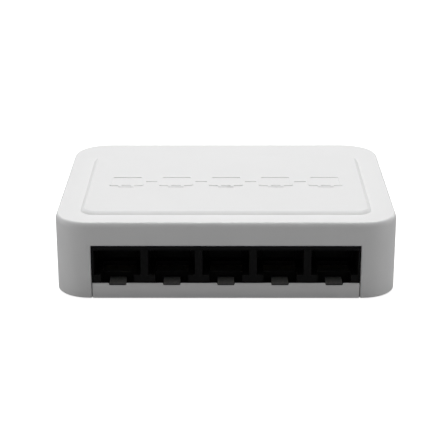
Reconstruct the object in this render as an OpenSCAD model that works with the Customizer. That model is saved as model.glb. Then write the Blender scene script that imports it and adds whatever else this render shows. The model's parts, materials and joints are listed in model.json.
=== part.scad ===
// Five-port desktop network switch: a white two-piece casing around a circuit board with a
// ganged socket block at the front and a power socket and status lights at the back.
// X runs along the row of ports, -Y is the port side, and Z is up from the bottoms of the feet.

/* [Casing] */
// Width of the casing, along the row of ports
body_w = 88.5; // [86:0.5:110]
// Depth of the casing, from the port side to the back
body_d = 70; // [68:0.5:90]
// Height of the casing, without the feet
body_h = 20.7; // [20.2:0.1:26]
// Radius of the casing's rear corners, seen from above
corner_r = 10; // [8:0.5:12]
// Radius of the casing's front corners, seen from above
front_corner_r = 9; // [7:0.5:9.5]
// Reach of the rounded edge between the top and the sides, inwards along the top
top_edge_reach = 0.8; // [0.5:0.1:1]
// Reach of the same edge down the sides
top_edge_drop = 1.7; // [1:0.1:1.8]
// Thickness of the casing's walls
wall = 1.8; // [1.6:0.1:2]
// How far the outer walls lean in from their top to their bottom
draft = 0.1; // [0:0.05:0.3]
// How far the rubber feet stand out below the casing
foot_out = 0.8; // [0.4:0.1:1.2]

/* [Raised panel on the top] */
// Distance from the front edge to the foot of the panel's bevel
panel_front = 6; // [5:0.1:10]
// Distance from each side to the foot of the panel's bevel
panel_side = 6.4; // [5:0.1:10]
// Distance from the back edge to the foot of the panel's bevel
panel_back = 13.2; // [10:0.1:16]
// Height of the panel
panel_h = 0.8; // [0.3:0.05:1]
// Width of the panel's bevelled edge
panel_bevel = 1; // [0.5:0.05:1.2]
// Height of the port symbols that are moulded on the panel
symbol_h = 0.15; // [0.1:0.05:0.4]

/* [Ports] */
// Distance from one port to the next
port_pitch = 13.97; // [13.8:0.01:14.2]
// Width of the opening in the front wall
window_w = 69.4; // [69.2:0.1:70]
// Height of the opening's top edge above the casing's underside
window_top = 14.3; // [14.1:0.05:14.5]
// Height of the front lip below the ports
lip_h = 4; // [3.8:0.05:4.1]
// Angle of the sprung contact wires below level
contact_slope = 20; // [16:1:22]

/* [Power socket] */
// Place of the power socket along X
power_x = 22; // [20:0.5:24]
// Diameter of the power socket's bore
power_bore_d = 5.8; // [5.6:0.1:6]
// Diameter of the power socket's centre pin
power_pin_d = 2.1; // [2:0.05:2.2]

/* [Hidden] */

$fn = 64;
// The five sockets' pieces are nodes of their own, so their number is fixed
port_count = 5;
// Small overlap that joins touching shapes
eps = 0.01;
// A cut starts this far outside the face that it breaks through
over = 1;
gap = 0.1;

// Heights, from the bottoms of the feet
z0 = foot_out;
floor_t = 1.5;
board_t = 1.6;
board_z = z0 + 2.8;
board_top = board_z + board_t;
roof_z = z0 + body_h - wall;
edge_break = 0.3;
foot_break = 0.15;
screw_recess_w = 0.5;

// Front and back faces of the casing
front = -body_d / 2;
back = body_d / 2;

// Raised panel and its symbols
panel_r = 4;
panel_y = (panel_front - panel_back) / 2;
symbol_y = -3.5;
symbol_w = 9.4;
symbol_d = 8;
symbol_line = 0.8;
symbol_pitch = port_pitch * 0.97;

// Base plate
base_clear = 0.15;
base_w = body_w - 2 * wall - 2 * base_clear;
base_d = body_d - 2 * wall - 2 * base_clear;
base_r = corner_r - wall - base_clear;
rim_t = 1.2;
rim_h = 3.2;
lip_w = window_w - 0.5;
lip_face = front + draft + 0.05;
lip_back = front + wall;
lip_root = 4;
ear_reach = 1;
ear_t = 1;
lip_thin_t = 0.55;
// How far the top of the lip's curved face lies behind its foot
lip_lean = 0.2;
lip_facets = 8;
lip_step_h = 2.6;
notch_top_w = 4.6;
notch_floor_w = 4.4;
notch_depth = 0.55;
vent_count = 15;
vent_pitch = 4;
vent_w = 2;
vent_len = 12;
vent_y = -17;
label_w = 46;
label_d = 22;
label_t = 0.1;
label_y = 8;
label_play = 0.3;
hook_y = -14;
hook_w = 6;
hook_h = 7;
hook_barb = 0.45;
hook_pocket_h = 3;

// Feet, with the case screws above the two rear ones
foot_x = body_w / 2 - 8.5;
foot_y = body_d / 2 - 9;
foot_r = 4.5;
foot_edge_r = 0.5;
foot_recess = 0.8;
foot_h = foot_recess + foot_out;
case_head_r = 2.7;
case_head_h = 1.6;
case_shank_r = 1.4;
case_screw_len = 9;
case_seat = z0 + foot_recess + case_head_h + 0.2;
case_pad_top = case_seat + 1.3;
case_boss_r = 3;
case_cup_r = 4.3;

// Posts that hang from the roof and hold the board down
post_x = 36.2;
post_y = -6;
post_r = 1.5;

// Circuit board
board_w = 78;
board_front = front + 7.2;
board_rear = back - 4;
board_notch_w = board_w / 2 - foot_x + case_cup_r + 0.3;
board_notch_d = 10;
board_screw_x = 36;
board_screw_y = 2;
board_rest_y = board_front + 3;
board_post_r = 3;
board_shank_r = 0.9;
board_head_r = 2;
board_head_h = 1.2;
board_screw_len = 3.4;

// Socket block. Its heights are set from the floor of the plugs' spaces.
block_face = lip_face + lip_lean;
block_behind = front + wall + 0.2;
block_rear = front + 16.6;
block_w = (port_count - 1) * port_pitch + 15;
lip_gap = 0.4;
nose_floor = z0 + lip_h + lip_gap;
nose_top = z0 + window_top - 0.2;
toe_floor = z0 + floor_t + 0.2;
cavity_w = 12.05;
cavity_floor = z0 + 6.35;
cavity_top = cavity_floor + 6.7;
cavity_rear = front + 12.2;
block_top = cavity_floor + 10.3;
// Space under the plug for its latch: open to below in front, with a floor further back
channel_w = 8.6;
channel_front_rear = front + 5.5;
channel_floor = board_top + 0.8;
channel_rear = cavity_rear - 2;
pocket_w = 9.2;
pocket_top = cavity_floor + 9.5;
pocket_front = front + 2.8;
peg_r = 1.5;
peg_y = board_front + 3.4;
// Tongue that runs from the block into each notch of the lip
tongue_w = 4.3;
tongue_tip_t = 0.3;
tongue_break = 0.1;
tongue_tip_floor = z0 + lip_h - notch_depth + 0.05;

// Contact wires
wire_count = 8;
wire_pitch = 1.02;
wire_w = 0.45;
wire_t = 0.35;
nose_r = 0.6;
bend_r = 0.7;
bend_y = front + 4.1;
bend_z = cavity_floor + 8.2;
arm_len = 7.4;
carrier_w = 8.9;
carrier_block_y = cavity_rear + 0.1;
carrier_rear = front + 15.9;
carrier_floor = z0 + 5.6;
tail_row_gap = 2.54;
tail_y = carrier_rear + 0.1;
tail_jog_z = board_top + 0.35;
tail_end_z = board_z - 0.9;
tail_hole_r = 0.42;

// Power socket
power_face = back - wall - 0.3;
power_len = 14;
power_w = 9;
power_axis_z = board_top + 6.4;
power_bore_len = 9.5;
power_pin_len = 8.8;
power_pin_break = 0.4;
power_collar_r = power_pin_d / 2 + 0.3;
power_rivet_inset = 1;
power_hole_r = 4.6;
power_flange_t = 3;
leaf_w = 2.2;
leaf_t = 0.3;
leaf_pivot_y = power_face - power_bore_len + 0.4;
leaf_pivot_z = power_axis_z - power_bore_d / 2 - 0.7;
leaf_root_r = 0.25;
leaf_slot_w = 2.8;
terminal_hole_r = 1;
terminal_t = 0.3;
terminal_w = 2.4;
terminal_tail_w = 1.4;
terminal_tail_len = 1;
// Places of the three solder terminals on the board
centre_terminal = [power_x, power_face - power_len + 0.85];
leaf_terminal = [power_x, leaf_pivot_y + 0.2];
side_terminal = [power_x - power_w / 2 - terminal_t / 2, power_face - power_len + 4];

// Status lights and their guide
light_count = 6;
light_pitch = 6;
light_x = -12;
light_y = back - 5.6;
light_z = z0 + 9.6;
light_r = 1.1;
guide_bar_w = 1.2;
guide_bar_h = 1.4;
guide_bar_z = light_z - 3.6;
lamp_h = 0.7;
lamp_w = 1.6;
lamp_d = 0.8;

// Parts on the board. A size is width, depth and height.
transformer_size = [12.7, 7, 4.6];
transformer_y = block_rear + 7.6;
lead_pitch = 1.27;
lead_w = 0.4;
dot_r = 0.6;
chip_size = [14, 14, 1.5];
chip_place = [-6, 9];
chip_lead_count = 16;
chip_lead_pitch = 0.8;
crystal_size = [10.2, 3.8, 3.4];
crystal_place = [-24, 10];
crystal_flange = 0.4;
input_capacitor_place = [11.5, back - 13];
core_capacitor_place = [-26, 18];
inductor_size = [7.3, 7.3, 4];
inductor_place = [20, 8];
inductor_core_r = 2.2;
inductor_trench_r = 3;
regulator_size = [4.9, 3.9, 1.4];
regulator_place = [10, 12];
diode_size = [2.6, 4.3, 2.1];
diode_place = [30, 15];
surge_place = [-34.5, 12];
surge_r = 3.6;
surge_t = 2;
// Small blocks in a row behind each transformer and beside the chips
small_row_y = transformer_y + 6.6;
small_capacitor_size = [1.6, 0.8, 0.8];
large_capacitor_size = [2, 1.25, 0.9];
resistor_size = [1.6, 0.8, 0.5];

// Place of number i in a centred row
function place(i, count, pitch) = (i - (count - 1) / 2) * pitch;
function port_x(i) = place(i, port_count, port_pitch);
function divider_x(i) = place(i, port_count - 1, port_pitch);
function wire_x(i) = place(i, wire_count, wire_pitch);
function light_at(i) = light_x + place(i, light_count, light_pitch);

// ---- Shared shapes ----

// Plan of a rectangle with round corners
module rounded_plan(w, d, r) {
    square([w - 2 * r, d], center = true);
    square([w, d - 2 * r], center = true);
    for (x = [-1, 1], y = [-1, 1])
        translate([x * (w / 2 - r), y * (d / 2 - r)]) circle(r = r);
}

module rounded_slab(w, d, r, h) {
    linear_extrude(height = h) rounded_plan(w, d, r);
}

// Slab with round corners and a shaped edge. Child 0 is the edge's cross-section, from X = 0
// out to X = r. It is turned through each corner and run along each side.
module shaped_slab(w, d, r, h) {
    translate([0, 0, h / 2]) cube([w - r, d - r, h], center = true);
    for (x = [-1, 1], y = [-1, 1])
        translate([x * (w / 2 - r), y * (d / 2 - r), 0]) rotate_extrude() children(0);
    for (side = [0, 180])
        rotate([90, 0, side]) translate([w / 2 - r, 0, r - d / 2])
            linear_extrude(height = d - 2 * r) children(0);
    for (side = [90, 270])
        rotate([90, 0, side]) translate([d / 2 - r, 0, r - w / 2])
            linear_extrude(height = w - 2 * r) children(0);
}

// Half cross-section with a rounded top edge, a wall that leans in towards its foot, and a
// small bevel at the bottom edge. The top edge is a quarter of an oval.
module casing_edge(reach, h, b) {
    foot = reach - draft;
    top = reach - top_edge_reach;
    shoulder = h - top_edge_drop;
    polygon([[0, 0], [foot - b, 0], [foot, b], [reach, shoulder], [top, shoulder], [top, h],
             [0, h]]);
    translate([top, shoulder]) scale([top_edge_reach, top_edge_drop]) intersection() {
        circle(r = 1);
        square(1);
    }
}

// Outside of the casing: a front half and a rear half with corners of different radius
module casing_outside() {
    for (side = [-1, 1]) {
        r = side < 0 ? front_corner_r : corner_r;
        intersection() {
            shaped_slab(body_w, body_d, r, body_h) casing_edge(r, body_h, foot_break);
            translate([0, side * (body_d / 2 - eps), body_h / 2])
                cube([2 * body_w, body_d, 2 * body_h], center = true);
        }
    }
}

// Half cross-section with a bevel in two steps at the top edge: steep at its foot, then flatter
module bevel_edge(reach, h, b) {
    polygon([[0, 0], [reach, 0], [reach - b * 0.4, h * 0.55], [reach - b, h], [0, h]]);
}

// Screw with a domed head and a cross recess, standing with its head up
module screw(head_r, head_h, shank_r, len) {
    difference() {
        union() {
            rotate_extrude() intersection() {
                translate([0, head_h - head_r * 1.6]) circle(r = head_r * 1.6);
                square([head_r, head_h]);
            }
            translate([0, 0, eps - len]) cylinder(r = shank_r, h = len);
        }
        for (a = [0, 90])
            rotate([0, 0, a])
                translate([-head_r * 0.6, -screw_recess_w / 2, head_h * 0.45])
                    cube([head_r * 1.2, screw_recess_w, head_h]);
    }
}

// Rows of bent leads along X, on the two long sides of a body that is d deep
module lead_rows(count, pitch, d, w, t, rise) {
    bend = d / 2 + 1.5 * t;
    for (side = [0, 180], i = [0 : count - 1])
        rotate([0, 0, side]) translate([(i - (count - 1) / 2) * pitch, 0, 0]) side_extrude(w)
            polygon([[d / 2, rise - t], [d / 2, rise], [bend + t, rise], [bend + t, t],
                     [bend + 3.5 * t, t], [bend + 3.5 * t, 0], [bend, 0], [bend, rise - t]]);
}

// Stands a side view upright, with its first axis along +Y, and gives it a width along X
module side_extrude(w) {
    rotate([90, 0, 90]) translate([0, 0, -w / 2]) linear_extrude(height = w) children();
}

// ---- Casing ----

// Outline of one network socket, seen from the front: a frame with its latch notch below
module port_symbol(w, h, line) {
    latch_w = w * 0.45;
    latch_h = line * 2.6;
    difference() {
        union() {
            rounded_plan(w, h, 1);
            translate([0, -h / 2]) square([latch_w, latch_h], center = true);
        }
        rounded_plan(w - 2 * line, h - 2 * line, 0.4);
        translate([0, -h / 2 + 2 * eps])
            square([latch_w - 2 * line, latch_h - 2 * line + 4 * eps], center = true);
    }
}

module panel() {
    w = body_w - 2 * panel_side;
    d = body_d - panel_front - panel_back;
    translate([0, panel_y, z0 + body_h - eps])
        shaped_slab(w, d, panel_r, panel_h + eps) bevel_edge(panel_r, panel_h + eps, panel_bevel);
}

// Row of socket outlines on a thin line, moulded on the panel
module panel_symbols() {
    translate([0, symbol_y, z0 + body_h + panel_h - eps]) linear_extrude(height = symbol_h + eps) {
        for (i = [0 : port_count - 1])
            translate([place(i, port_count, symbol_pitch), 0])
                port_symbol(symbol_w, symbol_d, symbol_line);
        for (i = [0 : port_count - 2])
            translate([place(i, port_count - 1, symbol_pitch), 0])
                square([symbol_pitch - symbol_w - 1, symbol_line], center = true);
    }
}

// Tube that hangs from the roof, for a case screw or to hold the board down
module roof_post(x, y, r, bottom) {
    translate([x, y, bottom]) cylinder(r = r, h = roof_z - bottom + eps);
}

// Opening in the front wall, with a bevel round its front edge. The bevel is what two tapered
// prisms have in common: one tapers at the sides, and the other at the top edge.
module window_cut() {
    near = front - over;
    far = front + edge_break + gap;
    near_grow = edge_break + over;
    translate([-window_w / 2, near, z0 - over])
        cube([window_w, wall + over + gap, window_top + over]);
    intersection() {
        translate([0, 0, z0 - over]) linear_extrude(height = window_top + 4 * over)
            polygon([[-window_w / 2 - near_grow, near], [window_w / 2 + near_grow, near],
                     [window_w / 2 - gap, far], [gap - window_w / 2, far]]);
        side_extrude(window_w + 4 * over)
            polygon([[near, z0 - over], [far, z0 - over], [far, z0 + window_top - gap],
                     [near, z0 + window_top + near_grow]]);
    }
}

module back_wall_cuts() {
    translate([power_x, back - wall - over, power_axis_z]) rotate([-90, 0, 0])
        cylinder(r = power_hole_r, h = wall + 2 * over);
    for (i = [0 : light_count - 1])
        translate([light_at(i), back - wall - over, light_z]) rotate([-90, 0, 0])
            cylinder(r = light_r + gap, h = wall + 2 * over);
}

module top_cover() {
    color("white") {
        difference() {
            union() {
                translate([0, 0, z0]) casing_outside();
                panel();
                panel_symbols();
            }
            translate([0, 0, z0 - over])
                rounded_slab(body_w - 2 * wall, body_d - 2 * wall, corner_r - wall,
                             body_h - wall + over);
            window_cut();
            back_wall_cuts();
            // Pockets in the side walls, where the base plate's hooks catch
            for (x = [-1, 1])
                translate([x * (body_w / 2 - wall), hook_y, z0 + hook_h - 1])
                    cube([2 * (hook_barb + gap), hook_w + 1, hook_pocket_h], center = true);
        }
        for (x = [-1, 1]) {
            difference() {
                roof_post(x * foot_x, foot_y, case_boss_r, case_pad_top + gap);
                translate([x * foot_x, foot_y, case_pad_top - over])
                    cylinder(r = case_shank_r + 0.05, h = case_screw_len);
            }
            roof_post(x * post_x, post_y, post_r, board_top + gap);
        }
    }
}

module lip_notches() {
    for (i = [0 : port_count - 1])
        translate([port_x(i), 0, z0 + lip_h]) rotate([90, 0, 0])
            translate([0, 0, -lip_back - over]) linear_extrude(height = wall + 2 * over)
                polygon([[-notch_floor_w / 2, -notch_depth], [notch_floor_w / 2, -notch_depth],
                         [notch_top_w / 2, eps], [notch_top_w / 2, over],
                         [-notch_top_w / 2, over], [-notch_top_w / 2, eps]]);
}

// Lip that closes the front wall's opening below the ports
module front_lip() {
    difference() {
        union() {
            side_extrude(lip_w) polygon(concat(
                [for (i = [0 : lip_facets])
                    [lip_face + lip_lean * pow(i / lip_facets, 2), z0 + lip_h * i / lip_facets]],
                [[lip_face + lip_thin_t, z0 + lip_h], [lip_face + lip_thin_t, z0 + lip_step_h],
                 [lip_back, z0 + lip_step_h], [lip_back, z0]]));
            translate([-lip_w / 2, lip_back - 1, z0])
                cube([lip_w, lip_face + lip_root - lip_back + 1, floor_t]);
            // Rib that runs behind the lip, and behind the front wall at both ends
            translate([-window_w / 2 - ear_reach, lip_back + base_clear, z0])
                cube([window_w + 2 * ear_reach, ear_t, lip_step_h]);
        }
        lip_notches();
        for (x = [-1, 1])
            translate([x * lip_w / 2, lip_face, z0 - over]) rotate([0, 0, 45])
                cube([edge_break, edge_break, 3 * lip_h], center = true);
        translate([0, lip_face + lip_lean, z0 + lip_h]) rotate([45, 0, 0])
            cube([body_w, edge_break, edge_break], center = true);
    }
}

// Upright hook at one side of the base plate, with its barb outwards along +X
module side_hook() {
    translate([base_w / 2 - rim_t, hook_y + hook_w / 2 - 0.5, z0]) rotate([90, 0, 0])
        linear_extrude(height = hook_w - 1)
            polygon([[0, floor_t - eps], [rim_t, floor_t - eps], [rim_t, hook_h - 2],
                     [rim_t + base_clear + hook_barb, hook_h - 1.6],
                     [rim_t + base_clear + hook_barb, hook_h - 1],
                     [rim_t, hook_h + 0.6], [0, hook_h + 0.6]]);
}

module base_plate() {
    color("white") difference() {
        union() {
            translate([0, 0, z0]) rounded_slab(base_w, base_d, base_r, floor_t);
            // Rim round the sides and the back, open at the front for the socket block
            difference() {
                translate([0, 0, z0]) rounded_slab(base_w, base_d, base_r, rim_h);
                translate([0, 0, z0 - over])
                    rounded_slab(base_w - 2 * rim_t, base_d - 2 * rim_t, base_r - rim_t,
                                 rim_h + 2 * over);
                translate([-body_w, front - over, z0 + floor_t])
                    cube([2 * body_w, wall + rim_t + over + 3, rim_h]);
            }
            front_lip();
            side_hook();
            mirror([1, 0, 0]) side_hook();
            for (x = [-1, 1]) {
                translate([x * foot_x, foot_y, z0])
                    cylinder(r = case_cup_r, h = case_pad_top - z0);
                for (y = [board_screw_y, board_rest_y])
                    translate([x * board_screw_x, y, z0])
                        cylinder(r = board_post_r, h = board_z - z0);
            }
        }
        for (x = [-1, 1]) {
            for (y = [-1, 1])
                translate([x * foot_x, y * foot_y, z0 - over])
                    cylinder(r = foot_r + gap, h = foot_recess + over);
            translate([x * foot_x, foot_y, z0]) cylinder(r = case_head_r + 0.3, h = case_seat - z0);
            translate([x * foot_x, foot_y, z0])
                cylinder(r = case_shank_r + 0.3, h = case_pad_top);
            translate([x * board_screw_x, board_screw_y, z0 + 0.7])
                cylinder(r = board_shank_r + 0.05, h = board_z);
        }
        // Ventilation slots under the sockets
        for (i = [0 : vent_count - 1])
            translate([place(i, vent_count, vent_pitch), vent_y, z0 - over]) vent_slot();
        // Shallow recess for the label
        translate([0, label_y, z0 - over])
            rounded_slab(label_w + 2 * label_play, label_d + 2 * label_play, 1 + label_play,
                         over + label_t * 2);
    }
}

// Slot with round ends along Y
module vent_slot() {
    linear_extrude(height = floor_t + 2 * over) {
        square([vent_w, vent_len - vent_w], center = true);
        for (y = [-1, 1]) translate([0, y * (vent_len - vent_w) / 2]) circle(r = vent_w / 2);
    }
}

// Rubber foot with a rounded lower edge
module foot(x, y) {
    color("dimgray") translate([x, y, 0]) rotate_extrude() {
        square([foot_r - foot_edge_r, foot_h]);
        translate([0, foot_edge_r]) square([foot_r, foot_h - foot_edge_r]);
        translate([foot_r - foot_edge_r, foot_edge_r]) circle(r = foot_edge_r);
    }
}

module foot_front_left() { foot(-foot_x, -foot_y); }
module foot_front_right() { foot(foot_x, -foot_y); }
module foot_rear_left() { foot(-foot_x, foot_y); }
module foot_rear_right() { foot(foot_x, foot_y); }

module case_screws() {
    color("silver") for (x = [-1, 1])
        translate([x * foot_x, foot_y, case_seat]) mirror([0, 0, 1])
            screw(case_head_r, case_head_h, case_shank_r, case_screw_len);
}

// Blank label in the base plate's recess
module rating_label() {
    color("whitesmoke") translate([0, label_y, z0 + label_t])
        rounded_slab(label_w, label_d, 1, label_t);
}

// ---- Circuit board and socket block ----

module circuit_board() {
    color("darkgreen") difference() {
        union() {
            translate([-board_w / 2, board_front, board_z])
                cube([board_w, board_rear - board_notch_d - board_front, board_t]);
            translate([-board_w / 2 + board_notch_w, board_front, board_z])
                cube([board_w - 2 * board_notch_w, board_rear - board_front, board_t]);
        }
        for (x = [-1, 1])
            translate([x * board_screw_x, board_screw_y, board_z - over])
                cylinder(r = board_shank_r + 0.3, h = board_t + 2 * over);
        for (i = [0 : port_count - 2])
            translate([divider_x(i), peg_y, board_z - over])
                cylinder(r = peg_r + gap, h = board_t + 2 * over);
        for (i = [0 : port_count - 1], k = [0 : wire_count - 1])
            translate([port_x(i) + wire_x(k), tail_place(k), board_z - over])
                cylinder(r = tail_hole_r, h = board_t + 2 * over);
        for (p = [centre_terminal, leaf_terminal, side_terminal])
            translate([p[0], p[1], board_z - over])
                cylinder(r = terminal_hole_r, h = board_t + 2 * over);
    }
}

module board_screws() {
    color("silver") for (x = [-1, 1])
        translate([x * board_screw_x, board_screw_y, board_top])
            screw(board_head_r, board_head_h, board_shank_r, board_screw_len);
}

// Everything that one network socket removes from the block
module socket_cut() {
    // Space for the plug
    translate([-cavity_w / 2, front - over, cavity_floor])
        cube([cavity_w, cavity_rear - front + over, cavity_top - cavity_floor]);
    // Channel below it for the plug's latch, open to below at the front
    translate([-channel_w / 2, front - over, toe_floor - over])
        cube([channel_w, channel_front_rear - front + over, cavity_floor - toe_floor + over + eps]);
    translate([-channel_w / 2, front, channel_floor])
        cube([channel_w, channel_rear - front, cavity_floor - channel_floor + eps]);
    // Pocket for the contact carrier, open to the plug's space and to the back
    translate([-pocket_w / 2, pocket_front, cavity_top - eps])
        cube([pocket_w, cavity_rear - pocket_front + eps, pocket_top - cavity_top]);
    translate([-pocket_w / 2, cavity_rear - eps, board_top - over])
        cube([pocket_w, block_rear - cavity_rear + over, pocket_top - board_top + over]);
}

// Tongue under one plug's latch: a bar behind the lip, with a thin tip that lies in the notch
module latch_tongue() {
    tip_front = lip_face + lip_lean;
    tip_back = lip_face + lip_thin_t + gap;
    tip_top = tongue_tip_floor + tongue_tip_t;
    side_extrude(tongue_w)
        polygon([[tip_front + tongue_break, tongue_tip_floor], [tip_back, tongue_tip_floor],
                 [tip_back, board_z], [channel_front_rear + eps, board_z],
                 [channel_front_rear + eps, tip_top], [tip_front + tongue_break, tip_top],
                 [tip_front, tip_top - tongue_break],
                 [tip_front, tongue_tip_floor + tongue_break]]);
}

module socket_block() {
    color([0.05, 0.05, 0.05]) {
        difference() {
            union() {
                // Nose that stands in the casing's front opening, above the lip
                translate([-lip_w / 2, block_face, nose_floor])
                    cube([lip_w, block_behind - block_face + eps, nose_top - nose_floor]);
                // Body on the board, with its front part hanging over the board's front edge
                translate([-block_w / 2, block_behind, board_top])
                    cube([block_w, block_rear - block_behind, block_top - board_top]);
                translate([-block_w / 2, block_behind, board_z])
                    cube([block_w, board_front - gap - block_behind, board_t + eps]);
                translate([-block_w / 2, channel_front_rear, toe_floor])
                    cube([block_w, board_front - gap - channel_front_rear, board_z - toe_floor + eps]);
                for (i = [0 : port_count - 2])
                    translate([divider_x(i), peg_y, board_z - 0.6])
                        cylinder(r = peg_r, h = board_t + 1);
            }
            for (i = [0 : port_count - 1]) translate([port_x(i), 0, 0]) socket_cut();
        }
        for (i = [0 : port_count - 1]) translate([port_x(i), 0, 0]) latch_tongue();
    }
}

// Insulator behind and above one socket, with the rounded nose that the wires bend round
module contact_carrier(i) {
    color([0.1, 0.1, 0.1]) translate([port_x(i), 0, 0]) {
        translate([-carrier_w / 2, carrier_block_y, carrier_floor])
            cube([carrier_w, carrier_rear - carrier_block_y, bend_z + nose_r - carrier_floor]);
        translate([-carrier_w / 2, bend_y, bend_z - nose_r])
            cube([carrier_w, carrier_rear - bend_y, 2 * nose_r]);
        translate([-carrier_w / 2, bend_y, bend_z]) rotate([0, 90, 0])
            cylinder(r = nose_r, h = carrier_w);
    }
}

module contact_carrier_1() { contact_carrier(0); }
module contact_carrier_2() { contact_carrier(1); }
module contact_carrier_3() { contact_carrier(2); }
module contact_carrier_4() { contact_carrier(3); }
module contact_carrier_5() { contact_carrier(4); }

// Depth at which a wire's tail goes through the board: the tails stand in two rows
function tail_place(k) = tail_y + wire_t / 2 - (k % 2) * tail_row_gap;

// Side view of a wire's fixed part: over the carrier, down behind it and through the board
module fixed_wire_outline(k) {
    run_z = bend_z + bend_r;
    translate([bend_y + 0.1, run_z]) square([tail_y + wire_t - bend_y - 0.1, wire_t]);
    translate([tail_y, tail_jog_z]) square([wire_t, run_z + wire_t - tail_jog_z]);
    translate([tail_place(k) - wire_t / 2, tail_jog_z])
        square([tail_y + wire_t - tail_place(k) + wire_t / 2, wire_t]);
    translate([tail_place(k) - wire_t / 2, tail_end_z])
        square([wire_t, tail_jog_z + wire_t - tail_end_z]);
}

// Side view of a wire's sprung part: round the carrier's nose, then back and down
module spring_wire_outline() {
    translate([bend_y, bend_z]) {
        difference() {
            circle(r = bend_r + wire_t);
            circle(r = bend_r);
            // Leaves the arc from the top, round the front, to where the straight arm starts
            translate([0, -4 * bend_r]) square(8 * bend_r);
            rotate(-contact_slope) translate([0, -4 * bend_r]) square(8 * bend_r);
        }
        rotate(-contact_slope) translate([-eps, -bend_r - wire_t]) square([arm_len, wire_t]);
        // Rounded tip
        rotate(-contact_slope) translate([arm_len - eps, -bend_r - wire_t / 2])
            circle(r = wire_t / 2);
    }
}

module fixed_wires(i) {
    color("gold") for (k = [0 : wire_count - 1])
        translate([port_x(i) + wire_x(k), 0, 0]) side_extrude(wire_w) fixed_wire_outline(k);
}

module fixed_wires_1() { fixed_wires(0); }
module fixed_wires_2() { fixed_wires(1); }
module fixed_wires_3() { fixed_wires(2); }
module fixed_wires_4() { fixed_wires(3); }
module fixed_wires_5() { fixed_wires(4); }

module spring_wires(i) {
    color("gold") for (k = [0 : wire_count - 1])
        translate([port_x(i) + wire_x(k), 0, 0]) side_extrude(wire_w) spring_wire_outline();
}

module spring_wires_1() { spring_wires(0); }
module spring_wires_2() { spring_wires(1); }
module spring_wires_3() { spring_wires(2); }
module spring_wires_4() { spring_wires(3); }
module spring_wires_5() { spring_wires(4); }

// ---- Power socket ----

module power_socket() {
    color([0.08, 0.08, 0.08]) difference() {
        union() {
            translate([power_x - power_w / 2, power_face - power_len, board_top])
                cube([power_w, power_len, power_axis_z - board_top]);
            translate([power_x, power_face, power_axis_z]) rotate([90, 0, 0])
                cylinder(r = power_w / 2, h = power_len);
            // Square flange behind the casing's back wall
            translate([power_x - power_w / 2, power_face - power_flange_t, board_top])
                cube([power_w, power_flange_t, power_axis_z + power_w / 2 - board_top]);
        }
        translate([power_x, power_face + over, power_axis_z]) rotate([90, 0, 0])
            cylinder(r = power_bore_d / 2, h = power_bore_len + over);
        translate([power_x, power_face, power_axis_z]) rotate([90, 0, 0])
            cylinder(r = power_collar_r + gap, h = power_len + over);
        // Slot under the bore for the sprung leaf
        translate([power_x - leaf_slot_w / 2, leaf_pivot_y - 1, board_top + 1.2])
            cube([leaf_slot_w, power_bore_len - 1, power_axis_z - power_bore_d / 2 - board_top]);
        translate([power_x - leaf_slot_w / 2, leaf_pivot_y - 0.6, board_top - over])
            cube([leaf_slot_w, 1.6, over + 1.3]);
        // Slot in the back of the housing for the centre terminal
        translate([power_x - 1.6, power_face - power_len - over, board_top - over])
            cube([3.2, over + 1.6, power_axis_z - board_top + 2.6]);
    }
}

// Centre pin, with a collar and a riveted end in the housing's back wall
module power_pin() {
    color("silver") translate([power_x, power_face - power_bore_len, power_axis_z])
        rotate([-90, 0, 0]) rotate_extrude() {
            polygon([[0, 0], [power_pin_d / 2, 0],
                     [power_pin_d / 2, power_pin_len - power_pin_break],
                     [power_pin_d / 2 - power_pin_break, power_pin_len], [0, power_pin_len]]);
            translate([0, power_bore_len - power_len + power_rivet_inset])
                square([power_collar_r, power_len - power_bore_len - power_rivet_inset]);
        }
}

// Sprung leaf that presses on the plug's sleeve: a strip with a round root and a raised crown
module power_leaf() {
    color("silver") translate([power_x, leaf_pivot_y, leaf_pivot_z]) {
        side_extrude(leaf_w)
            polygon([[0, leaf_t / 2], [3, 0.7], [4.6, 1.25], [5.2, 1.25], [6.6, 0.45],
                     [6.6, 0.15], [5.1, 0.95], [4.7, 0.95], [3.1, 0.4], [0, -leaf_t / 2]]);
        rotate([0, 90, 0]) cylinder(r = leaf_root_r, h = leaf_w, center = true);
    }
}

module terminal(x, y, turn, top) {
    translate([x, y, 0]) rotate([0, 0, turn]) {
        translate([-terminal_w / 2, -terminal_t / 2, board_top + gap])
            cube([terminal_w, terminal_t, top - board_top - gap]);
        translate([-terminal_tail_w / 2, -terminal_t / 2, board_z - terminal_tail_len])
            cube([terminal_tail_w, terminal_t, board_t + terminal_tail_len + 2 * gap]);
    }
}

module power_terminals() {
    color("silver") {
        terminal(centre_terminal[0], centre_terminal[1], 0, power_axis_z + 1.5);
        terminal(leaf_terminal[0], leaf_terminal[1], 0, leaf_pivot_z - leaf_root_r - gap);
        terminal(side_terminal[0], side_terminal[1], 90, power_axis_z - 1);
    }
}

// ---- Status lights ----

// One clear rod: up from a lamp on the board, then back through the casing's wall
module light_rod(x) {
    bottom = board_top + lamp_h + 0.2;
    translate([x, light_y, 0]) difference() {
        union() {
            translate([0, 0, bottom]) cylinder(r = light_r, h = light_z + light_r - bottom);
            translate([0, -light_r, light_z]) rotate([-90, 0, 0])
                cylinder(r = light_r, h = back - light_y + light_r - 0.05);
        }
        // Slanted face that turns the light towards the back
        translate([-over - light_r, 0, light_z]) rotate([45, 0, 0])
            translate([0, -5, 0]) cube([2 * (over + light_r), 10, 5]);
    }
}

module light_guide() {
    color("lightcyan") {
        for (i = [0 : light_count - 1]) light_rod(light_at(i));
        translate([light_at(0), light_y - guide_bar_w / 2, guide_bar_z])
            cube([light_at(light_count - 1) - light_at(0), guide_bar_w, guide_bar_h]);
    }
}

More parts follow.
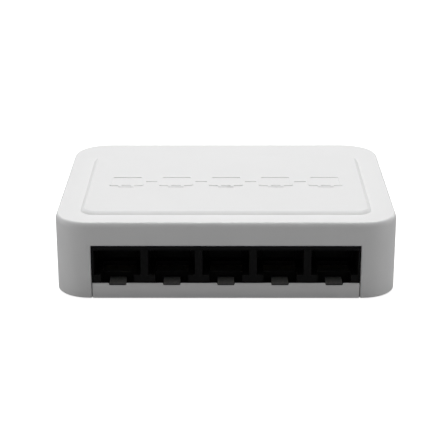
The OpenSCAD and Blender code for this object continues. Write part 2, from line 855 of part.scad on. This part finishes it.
module status_lights() {
    color("palegreen") for (i = [0 : light_count - 1])
        translate([light_at(i) - lamp_w / 2, light_y - lamp_d / 2, board_top])
            cube([lamp_w, lamp_d, lamp_h]);
}

// ---- Parts on the board ----

// Moulded body with bevelled upper edges along its sides, lifted off the board
module moulded_body(at, size, lift) {
    bevel = size[2] * 0.1;
    translate([at[0], at[1], board_top + lift]) {
        translate([-size[0] / 2, -size[1] / 2, 0]) cube([size[0], size[1], size[2] / 2 + eps]);
        rotate([90, 0, 0]) translate([0, size[2] / 2, -size[1] / 2])
            linear_extrude(height = size[1])
                polygon([[-size[0] / 2, 0], [size[0] / 2, 0],
                         [size[0] / 2 - bevel, size[2] / 2], [bevel - size[0] / 2, size[2] / 2]]);
    }
}

module switch_chip() {
    corner = [chip_place[0] - chip_size[0] / 2 + 1.6, chip_place[1] - chip_size[1] / 2 + 1.6];
    color("dimgray") difference() {
        moulded_body(chip_place, chip_size, 0.1);
        // Dot that marks the first pin
        translate([corner[0], corner[1], board_top + chip_size[2]]) cylinder(r = dot_r, h = over);
    }
}

module switch_chip_leads() {
    color("silver") translate([chip_place[0], chip_place[1], board_top]) for (turn = [0, 90])
        rotate([0, 0, turn])
            lead_rows(chip_lead_count, chip_lead_pitch, chip_size[0], 0.35, 0.2,
                      chip_size[2] * 0.55);
}

module transformer(i) {
    dot_x = port_x(i) - transformer_size[0] / 2 + 1.5;
    color([0.12, 0.12, 0.12]) difference() {
        moulded_body([port_x(i), transformer_y], transformer_size, 0.2);
        translate([dot_x, transformer_y, board_top + transformer_size[2]])
            cylinder(r = dot_r, h = over);
    }
}

module transformer_1() { transformer(0); }
module transformer_2() { transformer(1); }
module transformer_3() { transformer(2); }
module transformer_4() { transformer(3); }
module transformer_5() { transformer(4); }

module transformer_leads() {
    color("silver") for (i = [0 : port_count - 1])
        translate([port_x(i), transformer_y, board_top])
            lead_rows(8, lead_pitch, transformer_size[1], lead_w, 0.3, transformer_size[2] * 0.3);
}

// Metal can with round ends on a slightly larger base
module clock_crystal() {
    base = [crystal_size[0] + 2 * crystal_flange, crystal_size[1] + 2 * crystal_flange];
    color("silver") translate([crystal_place[0], crystal_place[1], board_top]) {
        rounded_slab(base[0], base[1], base[1] / 2 - eps, 0.5);
        rounded_slab(crystal_size[0], crystal_size[1], crystal_size[1] / 2 - eps, crystal_size[2]);
    }
}

// Upright can with a bead pressed round it near the bottom
module can_capacitor(at, r, h) {
    translate([at[0], at[1], board_top]) rotate_extrude() difference() {
        union() {
            square([r - 0.3, h]);
            square([r, h - 0.3]);
        }
        translate([r + 0.35, 1.6]) circle(r = 0.6);
    }
}

module input_capacitor() {
    color("darkslategray") can_capacitor(input_capacitor_place, 4, 11);
}

module core_capacitor() {
    color("darkslategray") can_capacitor(core_capacitor_place, 2.5, 7);
}

module power_inductor() {
    color("dimgray") translate([inductor_place[0], inductor_place[1], board_top]) difference() {
        rounded_slab(inductor_size[0], inductor_size[1], 1.5, inductor_size[2]);
        // Ring-shaped trench between the core and the rim
        translate([0, 0, inductor_size[2] - 0.6]) difference() {
            cylinder(r = inductor_trench_r, h = over);
            translate([0, 0, -over]) cylinder(r = inductor_core_r, h = 3 * over);
        }
    }
}

module regulator_chip() {
    color("dimgray") moulded_body(regulator_place, regulator_size, 0.1);
}

module regulator_leads() {
    color("silver") translate([regulator_place[0], regulator_place[1], board_top])
        lead_rows(4, lead_pitch, regulator_size[1], lead_w, 0.2, 0.8);
}

module input_diode() {
    color("dimgray") moulded_body(diode_place, diode_size, 0.1);
}

// Round flat capacitor that stands on its edge
module surge_capacitor() {
    color("royalblue") translate([surge_place[0], surge_place[1], board_top + surge_r])
        rotate([0, 90, 0]) rotate_extrude() {
            translate([0, -surge_t / 2]) square([surge_r - surge_t / 2 + 0.1, surge_t]);
            translate([surge_r - surge_t / 2, 0]) circle(r = surge_t / 2);
        }
}

// One small block on the board, turned by a quarter turn or not
module chip_part(x, y, turned, size) {
    translate([x, y, board_top + size[2] / 2]) rotate([0, 0, turned ? 90 : 0])
        cube(size, center = true);
}

module chip_capacitors() {
    color("tan") {
        for (i = [0 : port_count - 1])
            chip_part(port_x(i) - 3, small_row_y, false, small_capacitor_size);
        for (side = [-1, 1], k = [-1 : 1])
            chip_part(chip_place[0] + side * 10.2, chip_place[1] + k * 4, true,
                      small_capacitor_size);
        for (side = [-1, 1])
            chip_part(crystal_place[0] + side * 3, crystal_place[1] - 4, false,
                      large_capacitor_size);
        chip_part(regulator_place[0] + 4, regulator_place[1] + 4, true, large_capacitor_size);
        chip_part(regulator_place[0] + 4, regulator_place[1] - 4, false, large_capacitor_size);
    }
}

module chip_resistors() {
    color([0.1, 0.1, 0.1]) {
        for (i = [0 : port_count - 1], k = [0 : 2])
            chip_part(port_x(i) + 1 + k * 1.8, small_row_y, true, resistor_size);
        for (i = [0 : light_count - 1])
            chip_part(light_at(i), light_y - 3.4, true, resistor_size);
    }
}

top_cover();
base_plate();
foot_front_left();
foot_front_right();
foot_rear_left();
foot_rear_right();
case_screws();
rating_label();
circuit_board();
board_screws();
socket_block();
contact_carrier_1();
contact_carrier_2();
contact_carrier_3();
contact_carrier_4();
contact_carrier_5();
fixed_wires_1();
fixed_wires_2();
fixed_wires_3();
fixed_wires_4();
fixed_wires_5();
spring_wires_1();
spring_wires_2();
spring_wires_3();
spring_wires_4();
spring_wires_5();
power_socket();
power_pin();
power_leaf();
power_terminals();
light_guide();
status_lights();
switch_chip();
switch_chip_leads();
transformer_1();
transformer_2();
transformer_3();
transformer_4();
transformer_5();
transformer_leads();
clock_crystal();
input_capacitor();
core_capacitor();
power_inductor();
regulator_chip();
regulator_leads();
input_diode();
surge_capacitor();
chip_capacitors();
chip_resistors();
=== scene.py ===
"""Desktop network switch: materials, edge rounding, small details, light and camera.

Lengths are in metres, in the same frame as the CAD model: x to the right, y to the back,
z up, with the casing centred on the origin and its feet at z = 0.
"""
import json
import math

import bmesh
import bpy
from mathutils import Matrix, Vector


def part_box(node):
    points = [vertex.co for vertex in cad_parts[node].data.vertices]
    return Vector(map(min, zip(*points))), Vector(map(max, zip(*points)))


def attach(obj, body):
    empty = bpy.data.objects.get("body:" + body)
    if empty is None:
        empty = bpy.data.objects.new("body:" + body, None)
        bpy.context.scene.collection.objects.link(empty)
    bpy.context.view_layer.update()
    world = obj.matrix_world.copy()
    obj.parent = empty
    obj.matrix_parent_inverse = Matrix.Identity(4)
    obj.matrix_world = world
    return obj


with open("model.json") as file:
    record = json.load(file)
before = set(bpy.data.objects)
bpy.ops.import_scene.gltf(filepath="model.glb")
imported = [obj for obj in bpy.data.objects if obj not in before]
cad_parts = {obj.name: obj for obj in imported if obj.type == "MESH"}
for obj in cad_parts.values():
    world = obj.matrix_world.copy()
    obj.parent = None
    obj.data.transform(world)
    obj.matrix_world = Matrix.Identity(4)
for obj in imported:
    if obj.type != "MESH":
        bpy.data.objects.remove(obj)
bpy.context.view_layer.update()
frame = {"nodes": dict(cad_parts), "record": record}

mm = 0.001
MERGE = 0.001 * mm  # vertices that are closer together than this are one point
ROOT = "switch"
nodes = frame["nodes"]
record = frame["record"]
scene = bpy.context.scene


# ---- Node materials ----

class Shader:
    """A Principled material under construction. Its patterns are laid out in object space."""

    def __init__(self, name, **sockets):
        self.material = bpy.data.materials.new(name)
        self.material.use_nodes = True
        self.tree = self.material.node_tree
        self.bsdf = self.tree.nodes["Principled BSDF"]
        self.coords = self.add("ShaderNodeTexCoord").outputs["Object"]
        self.tone = None
        self.relief = None
        for socket, value in sockets.items():
            self.bsdf.inputs[socket.replace("_", " ")].default_value = value

    def add(self, kind, **inputs):
        node = self.tree.nodes.new(kind)
        for socket, value in inputs.items():
            self.feed(node.inputs[socket.replace("_", " ")], value)
        return node

    def feed(self, socket, value):
        if isinstance(value, bpy.types.NodeSocket):
            self.tree.links.new(value, socket)
        else:
            socket.default_value = value

    def math(self, operation, a, b=0.0):
        node = self.tree.nodes.new("ShaderNodeMath")
        node.operation = operation
        node.use_clamp = True
        self.feed(node.inputs[0], a)
        self.feed(node.inputs[1], b)
        return node.outputs[0]

    def noise(self, size, detail=2.0, rough=0.5):
        """Noise with features of about this size, from 0 to 1."""
        node = self.add("ShaderNodeTexNoise", Vector=self.coords, Scale=1 / size,
                        Detail=detail, Roughness=rough)
        return node.outputs["Fac"]

    def ramp(self, factor, stops):
        """Grey or colour ramp: stops are (place, value) with a number or an RGB triple."""
        node = self.add("ShaderNodeValToRGB", Fac=factor)
        ramp = node.color_ramp
        while len(ramp.elements) < len(stops):
            ramp.elements.new(0.5)
        for element, (place, value) in zip(ramp.elements, stops):
            element.position = place
            rgb = (value, value, value) if isinstance(value, (int, float)) else value
            element.color = (*rgb, 1)
        return node.outputs["Color"]

    def mix(self, factor, a, b):
        node = self.tree.nodes.new("ShaderNodeMix")
        node.data_type = "RGBA"
        self.feed(node.inputs["Factor"], factor)
        colours = [s for s in node.inputs if s.type == "RGBA"]
        for socket, value in zip(colours, (a, b)):
            self.feed(socket, value if isinstance(value, bpy.types.NodeSocket) else (*value, 1))
        return next(s for s in node.outputs if s.type == "RGBA")

    def colour(self, output):
        """Colours the surface, and keeps the output so that another can be mixed over it."""
        self.tone = output
        self.feed(self.bsdf.inputs["Base Color"], output)

    def roughness(self, factor, low, high):
        span = self.add("ShaderNodeMapRange", Value=factor, To_Min=low, To_Max=high)
        self.feed(self.bsdf.inputs["Roughness"], span.outputs["Result"])

    def bump(self, height, depth):
        """Adds a relief of this depth to any relief that is there already."""
        node = self.add("ShaderNodeBump", Height=height, Distance=depth)
        if self.relief is not None:
            self.feed(node.inputs["Normal"], self.relief)
        self.relief = node.outputs["Normal"]
        self.feed(self.bsdf.inputs["Normal"], self.relief)


def moulded(name, base, spread, rough, grain, grain_depth, **sockets):
    """Moulded plastic or rubber: a fine even grain, and faint large clouds in colour and gloss."""
    shader = Shader(name, **sockets)
    clouds = shader.noise(14 * mm, 3)
    dark = [c * (1 - spread) for c in base]
    light = [min(1, c * (1 + spread)) for c in base]
    shader.colour(shader.ramp(clouds, [(0.3, dark), (0.7, light)]))
    shader.roughness(shader.noise(3 * mm, 3), rough - 0.04, rough + 0.04)
    shader.bump(shader.noise(grain, 2, 0.6), grain_depth)
    return shader


def black_plastic():
    """Black moulding whose low faces that look up are pale: partly a scuffed look, partly painted
    light.

    The painted light is brightest at the very front and fades deeper into the socket, as light
    from the front would.
    """
    # pale tone of the low up-facing faces: partly a scuffed look, partly painted light
    rubbed_and_lit_tone = (0.28, 0.28, 0.276)
    ledge_height = 4.2 * mm
    painted_light_depth = 5 * mm
    shader = moulded("black_plastic", (0.00473, 0.00473, 0.004945), 0.07, 0.5, 0.25 * mm,
                     0.004 * mm, IOR=1.45, Specular_IOR_Level=0.14)
    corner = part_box("socket_block")[0]
    low = corner.z + ledge_height
    place = shader.add("ShaderNodeSeparateXYZ", Vector=shader.coords)
    reach = shader.add("ShaderNodeMapRange", Value=place.outputs["Z"], From_Min=low,
                       From_Max=low - 0.2 * mm)
    # painted light: the pale tone fades from the front of the socket inwards, as the light from
    # the front does
    depth = shader.add("ShaderNodeMapRange", Value=place.outputs["Y"], From_Min=corner.y,
                       From_Max=corner.y + painted_light_depth, To_Min=1.0, To_Max=0.25)
    normal = shader.add("ShaderNodeNewGeometry").outputs["Normal"]
    up = shader.add("ShaderNodeSeparateXYZ", Vector=normal).outputs["Z"]
    patches = shader.add("ShaderNodeMapRange", Value=shader.noise(0.5 * mm, 4, 0.6),
                         From_Min=0.3, From_Max=0.7, To_Min=0.6, To_Max=1.0)
    # painted light on the faces that look up; the noise patches give it a scuffed look
    cover = shader.math("POWER", up, 3.0)
    for limit in (patches, reach, depth):
        cover = shader.math("MULTIPLY", cover, limit.outputs["Result"])
    shader.colour(shader.mix(cover, shader.tone, rubbed_and_lit_tone))
    return shader.material


def metal(name, base, rough):
    """Plated metal with faint stains."""
    shader = Shader(name, Metallic=1.0)
    stains = shader.noise(1.2 * mm, 4, 0.6)
    shader.colour(shader.ramp(stains, [(0.25, [c * 0.86 for c in base]), (0.75, base)]))
    shader.roughness(shader.noise(0.4 * mm, 3), rough - 0.06, rough + 0.08)
    shader.bump(shader.noise(0.35 * mm, 2), 0.001 * mm)
    return shader.material


def board_green():
    """Green solder mask over tracks, which show as slightly raised and lighter lines."""
    shader = Shader("board_green")
    distances = []
    for feature in ("F2", "F1"):
        cells = shader.add("ShaderNodeTexVoronoi", Vector=shader.coords, Scale=1 / (2.4 * mm),
                           Randomness=0.7)
        cells.feature = feature
        cells.distance = "CHEBYCHEV"
        distances.append(cells.outputs["Distance"])
    tracks = shader.ramp(shader.math("SUBTRACT", *distances), [(0.08, 1.0), (0.11, 0.0)])
    clouds = shader.noise(9 * mm, 3)
    mask = shader.ramp(clouds, [(0.3, (0.008, 0.085, 0.032)), (0.7, (0.011, 0.105, 0.04))])
    shader.colour(shader.mix(tracks, mask, (0.02, 0.17, 0.06)))
    shader.roughness(shader.noise(2 * mm, 3), 0.24, 0.34)
    shader.bump(tracks, 0.03 * mm)
    shader.bump(shader.noise(0.5 * mm, 2), 0.004 * mm)
    return shader.material


def make_materials():
    return {
        "white_plastic": moulded("white_plastic", (0.80, 0.80, 0.80), 0.006, 0.46,
                                 0.2 * mm, 0.006 * mm, IOR=1.46).material,
        "black_plastic": black_plastic(),
        "foot_rubber": moulded("foot_rubber", (0.06, 0.06, 0.062), 0.08, 0.8,
                               0.25 * mm, 0.02 * mm, IOR=1.5).material,
        "screw_steel": metal("screw_steel", (0.6, 0.6, 0.62), 0.3),
        "label_paper": moulded("label_paper", (0.78, 0.79, 0.8), 0.01, 0.35,
                               0.5 * mm, 0.004 * mm).material,
        "board_green": board_green(),
        "gold_plate": metal("gold_plate", (0.83, 0.6, 0.24), 0.25),
        "nickel_plate": metal("nickel_plate", (0.75, 0.74, 0.71), 0.22),
        "tin_plate": metal("tin_plate", (0.66, 0.66, 0.68), 0.38),
        "clear_plastic": moulded("clear_plastic", (0.9, 0.92, 0.93), 0.01, 0.12, 2 * mm,
                                 0.003 * mm, Transmission_Weight=0.9, IOR=1.49).material,
        "lamp_resin": moulded("lamp_resin", (0.75, 0.85, 0.7), 0.03, 0.3,
                              0.3 * mm, 0.002 * mm).material,
        "chip_epoxy": moulded("chip_epoxy", (0.022, 0.022, 0.023), 0.1, 0.6,
                              0.12 * mm, 0.01 * mm).material,
        "chip_ceramic": moulded("chip_ceramic", (0.42, 0.33, 0.22), 0.06, 0.5,
                                0.2 * mm, 0.006 * mm).material,
        "capacitor_sleeve": moulded("capacitor_sleeve", (0.02, 0.025, 0.04), 0.1, 0.25,
                                    1.5 * mm, 0.006 * mm).material,
        "ferrite": moulded("ferrite", (0.06, 0.06, 0.062), 0.15, 0.55,
                           0.25 * mm, 0.015 * mm).material,
        "blue_lacquer": moulded("blue_lacquer", (0.03, 0.1, 0.4), 0.1, 0.22,
                                0.9 * mm, 0.02 * mm).material,
    }


materials = make_materials()


def dress_nodes():
    for part in record["subparts"]:
        obj = nodes[part["node"]]
        obj.data.materials.clear()
        obj.data.materials.append(materials[part["material_slot"]])


# ---- Edges and shading ----

def weld(obj):
    """Joins the mesh's faces where their corners meet."""
    obj.modifiers.new("weld", "WELD").merge_threshold = MERGE


def even_shading(name, angle):
    """Shades a node smoothly, except across edges that are sharper than the angle."""
    obj = nodes[name]
    weld(obj)
    split = obj.modifiers.new("split", "EDGE_SPLIT")
    split.split_angle = math.radians(angle)
    split.use_edge_sharp = False
    obj.modifiers.new("shade", "WEIGHTED_NORMAL")


def soften(name, width):
    """Rounds a node's edges where they turn by over 35 degrees. Its flat faces stay flat."""
    obj = nodes[name]
    weld(obj)
    bevel = obj.modifiers.new("bevel", "BEVEL")
    bevel.width = width
    bevel.segments = 2
    bevel.limit_method = "ANGLE"
    bevel.angle_limit = math.radians(35)
    bevel.miter_outer = "MITER_ARC"
    bevel.face_strength_mode = "FSTR_AFFECTED"
    shade = obj.modifiers.new("shade", "WEIGHTED_NORMAL")
    shade.use_face_influence = True


def round_edges():
    even_shading("top_cover", angle=25)
    soften("base_plate", 0.1 * mm)
    soften("socket_block", 0.12 * mm)
    soften("power_socket", 0.12 * mm)
    for i in range(1, 6):
        soften(f"contact_carrier_{i}", 0.12 * mm)


# ---- Small details ----

def smooth_object(name, mesh, material):
    """Turns a bmesh into a smoothly shaded object."""
    bmesh.ops.recalc_face_normals(mesh, faces=mesh.faces)
    data = bpy.data.meshes.new(name)
    mesh.to_mesh(data)
    mesh.free()
    for face in data.polygons:
        face.use_smooth = True
    data.materials.append(material)
    obj = bpy.data.objects.new(name, data)
    scene.collection.objects.link(obj)
    return obj


def new_piece(name, mesh, body, slot):
    """Turns a bmesh into a smooth piece that rides on a body."""
    obj = smooth_object(name, mesh, materials[slot])
    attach(obj, body)


def turned_ring(mesh, radius, height, centre, steps):
    """Vertices in a ring round the centre. On the axis one vertex stands for all of them."""
    if radius == 0:
        return [mesh.verts.new((centre[0], centre[1], height))] * steps
    angles = [2 * math.pi * k / steps for k in range(steps)]
    return [mesh.verts.new((centre[0] + radius * math.cos(a), centre[1] + radius * math.sin(a),
                            height)) for a in angles]


def turn_profile(mesh, profile, centre, steps, closed=False):
    """Turns (radius, height) points, in metres, round an upright axis through the centre."""
    rings = [turned_ring(mesh, r, z, centre, steps) for r, z in profile]
    if closed:
        rings.append(rings[0])
    for ring, following in zip(rings, rings[1:]):
        for k in range(steps):
            after = (k + 1) % steps
            corners = (ring[k], ring[after], following[after], following[k])
            mesh.faces.new(list(dict.fromkeys(corners)))


def node_middle(node):
    """Middle of a node's box, seen from above."""
    low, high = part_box(node)
    return (low.x + high.x) / 2, (low.y + high.y) / 2


def capacitor_cap(node):
    """Bare metal end of a can capacitor, with the scored cross that lets it vent."""
    low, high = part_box(node)
    x, y = node_middle(node)
    sleeve_rim, rounding, rings = 0.45 * mm, 0.3 * mm, 24
    score_half, score_depth, score_reach = 0.13 * mm, 0.05 * mm, 0.8
    edge = (high.x - low.x) / 2 - sleeve_rim
    inner = edge - rounding
    foot, face, crest = (high.z + rise * mm for rise in (-0.1, 0.06, 0.12))
    profile = [(0, foot), (edge, foot), (edge, face), (edge - 0.12 * mm, crest)]
    profile += [(inner * (1 - i / rings), face) for i in range(rings)]
    profile.append((0, face))
    mesh = bmesh.new()
    turn_profile(mesh, profile, (x, y), 96)
    for vert in mesh.verts:
        across = min(abs(vert.co.x - x), abs(vert.co.y - y))
        out = math.hypot(vert.co.x - x, vert.co.y - y)
        if vert.co.z > high.z and across < score_half and out < inner * score_reach:
            vert.co.z -= score_depth
    new_piece(f"{node}_cap", mesh, ROOT, "nickel_plate")


def inductor_winding():
    """Copper turns that show in the ring-shaped trench of the inductor."""
    wire = 0.13 * mm
    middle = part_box("power_inductor")[1].z - 0.42 * mm
    mesh = bmesh.new()
    for radius in (2.34 * mm, 2.6 * mm, 2.86 * mm):
        ring = [(radius + wire * math.cos(a), middle + wire * math.sin(a))
                for a in (math.radians(30 * k) for k in range(12))]
        turn_profile(mesh, ring, node_middle("power_inductor"), 64, closed=True)
    new_piece("inductor_winding", mesh, ROOT, "gold_plate")


def connected(first, level, seen):
    """The vertex and all that it is joined to below this level. It adds them to those seen."""
    group = [first]
    seen.add(first)
    for vert in group:
        for edge in vert.link_edges:
            other = edge.other_vert(vert)
            if other.co.z < level and other not in seen:
                seen.add(other)
                group.append(other)
    return group


def pin_ends(node):
    """Middles of the lower ends of a node's pins, which stand out below the board."""
    mesh = bmesh.new()
    mesh.from_mesh(nodes[node].data)
    bmesh.ops.remove_doubles(mesh, verts=mesh.verts, dist=MERGE)
    level = min(vert.co.z for vert in mesh.verts) + 0.01 * mm
    ends = []
    seen = set()
    for vert in mesh.verts:
        if vert.co.z < level and vert not in seen:
            end = connected(vert, level, seen)
            ends.append(sum((corner.co for corner in end), Vector()) / len(end))
    mesh.free()
    return ends


# Outline of the solder round a wire: radius and height against the board's underside, in mm.
SOLDER_CONE = [(0.0, 0.05), (0.48, 0.05), (0.5, -0.02), (0.4, -0.1), (0.3, -0.26),
               (0.25, -0.45), (0.18, -0.56), (0.0, -0.6)]


def solder_cones(mesh, node, width, steps):
    """Adds a cone round each pin of a node, this many times as wide as the one for a wire."""
    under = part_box("circuit_board")[0].z
    outline = [(r * width * mm, under + z * mm) for r, z in SOLDER_CONE]
    for end in pin_ends(node):
        turn_profile(mesh, outline, end, steps)


def solder_joints():
    """Solder cones round the pins, on the underside of the board."""
    mesh = bmesh.new()
    for i in range(1, 6):
        solder_cones(mesh, f"fixed_wires_{i}", 1.0, 16)
    solder_cones(mesh, "power_terminals", 2.4, 24)
    new_piece("solder_joints", mesh, ROOT, "tin_plate")


def add_details():
    capacitor_cap("input_capacitor")
    capacitor_cap("core_capacitor")
    inductor_winding()
    solder_joints()


# ---- Stage, light and camera ----

def bowl(name, height, shader):
    """Flat floor at this height that curves up into a wall all round."""
    flat, bend, rim = 0.75, 0.25, 1.3
    profile = [(0, 0), (flat, 0)]
    profile += [(flat + bend * math.sin(a), bend - bend * math.cos(a))
                for a in (math.radians(10 * k) for k in range(1, 10))]
    profile.append((flat + bend, rim))
    mesh = bmesh.new()
    turn_profile(mesh, [(r, z + height) for r, z in profile], (0, 0), 96)
    floor = smooth_object(name, mesh, shader.material)
    return floor


def outside_footprint(shader, radius, start, end):
    """1 outside the casing's outline and 0 under its middle.

    It changes from start to end, both measured inwards from the outline, and the outline's
    corners have this radius.
    """
    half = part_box("top_cover")[1]
    place = shader.add("ShaderNodeSeparateXYZ", Vector=shader.coords)
    squares = []
    for axis, reach in (("X", half.x), ("Y", half.y)):
        away = shader.math("ABSOLUTE", place.outputs[axis])
        beyond = shader.math("SUBTRACT", away, reach - radius)
        squares.append(shader.math("POWER", beyond, 2.0))
    from_core = shader.math("SQRT", shader.math("ADD", *squares))
    fade = shader.add("ShaderNodeMapRange", Value=from_core, From_Min=radius - end,
                      From_Max=radius - start)
    return fade.outputs["Result"]


def white_paper():
    """Paper that glows evenly, with a painted shadow under the casing, where its glow fades out.
    """
    shader = Shader("studio_white", Roughness=0.9, Specular_IOR_Level=0.0,
                    Emission_Color=(1, 1, 1, 1))
    shader.colour(shader.ramp(shader.noise(0.3, 1), [(0.3, 0.5), (0.7, 0.52)]))
    # painted shadow: the glow fades to nothing under the casing
    lit = outside_footprint(shader, radius=9.5 * mm, start=2.2 * mm, end=3.2 * mm)
    shader.feed(shader.bsdf.inputs["Emission Strength"], shader.math("MULTIPLY", lit, 0.95))
    return shader


def grey_table():
    shader = Shader("studio_table", Roughness=0.9, Specular_IOR_Level=0.0)
    shader.colour(shader.ramp(shader.noise(0.3, 1), [(0.3, 0.34), (0.7, 0.36)]))
    return shader


def make_stage():
    """The floor in two layers: white paper for the camera, and a table that throws light back."""
    paper = bowl("studio_floor", 0.0, white_paper())
    paper.visible_diffuse = False
    paper.visible_glossy = False
    paper.visible_shadow = False
    table = bowl("studio_table", -0.2 * mm, grey_table())
    table.visible_camera = False


# Soft boxes: name, distance, azimuth from the front and elevation in degrees, size and power.
# The two cards at the sides stay lower than the casing, so that they light only its walls.
SOFT_BOXES = [
    ("top_box", 0.85, 180, 75, (0.7, 0.6), 7.2),
    ("rear_box", 0.85, 180, 65, (0.7, 0.5), 1.0),
    ("front_box", 0.85, 0, 60, (0.8, 0.3), 0.9),
    ("left_card", 0.25, -80, 0, (0.3, 0.018), 0.1),
    ("right_card", 0.25, 80, 0, (0.3, 0.018), 0.1),
]


def soft_box(name, distance, azimuth, elevation, size, power):
    """Area light at this distance from the object's middle, turned to face it."""
    turn, rise = math.radians(azimuth), math.radians(elevation)
    middle = Vector((0, 0, 10 * mm))
    out = Vector((math.sin(turn) * math.cos(rise), -math.cos(turn) * math.cos(rise),
                  math.sin(rise)))
    light = bpy.data.lights.new(name, "AREA")
    light.shape = "RECTANGLE"
    light.size, light.size_y = size
    light.energy = power
    obj = bpy.data.objects.new(name, light)
    obj.location = middle + distance * out
    obj.rotation_euler = (-out).to_track_quat("-Z", "Y").to_euler()
    scene.collection.objects.link(obj)


def make_lights():
    """The soft boxes in a dark world."""
    for box in SOFT_BOXES:
        soft_box(*box)
    world = bpy.data.worlds.new("studio")
    world.use_nodes = True
    world.node_tree.nodes["Background"].inputs["Strength"].default_value = 0.0
    scene.world = world
    scene.view_settings.view_transform = "Standard"


def make_camera():
    """Camera at the photograph's viewing angle: from the front, and 19.3 degrees from above.

    Its small yaw, about its own upright, sets the object's place across the picture.
    """
    pitch = math.radians(19.3)
    yaw = math.radians(0.431)
    camera = bpy.data.cameras.new("camera")
    camera.lens = 120.7
    camera.sensor_width = 36
    obj = bpy.data.objects.new("camera", camera)
    obj.location = (0, -0.3797, 0.1443)
    forward = Vector((0, math.cos(pitch), -math.sin(pitch)))
    up = Vector((0, math.sin(pitch), math.cos(pitch)))
    side = Vector((1, 0, 0))
    turned = Matrix.Rotation(yaw, 3, up)
    rotation = Matrix((turned @ side, turned @ up, -(turned @ forward))).transposed()
    obj.rotation_euler = rotation.to_euler()
    scene.collection.objects.link(obj)
    scene.camera = obj


dress_nodes()
round_edges()
add_details()
make_stage()
make_lights()
make_camera()
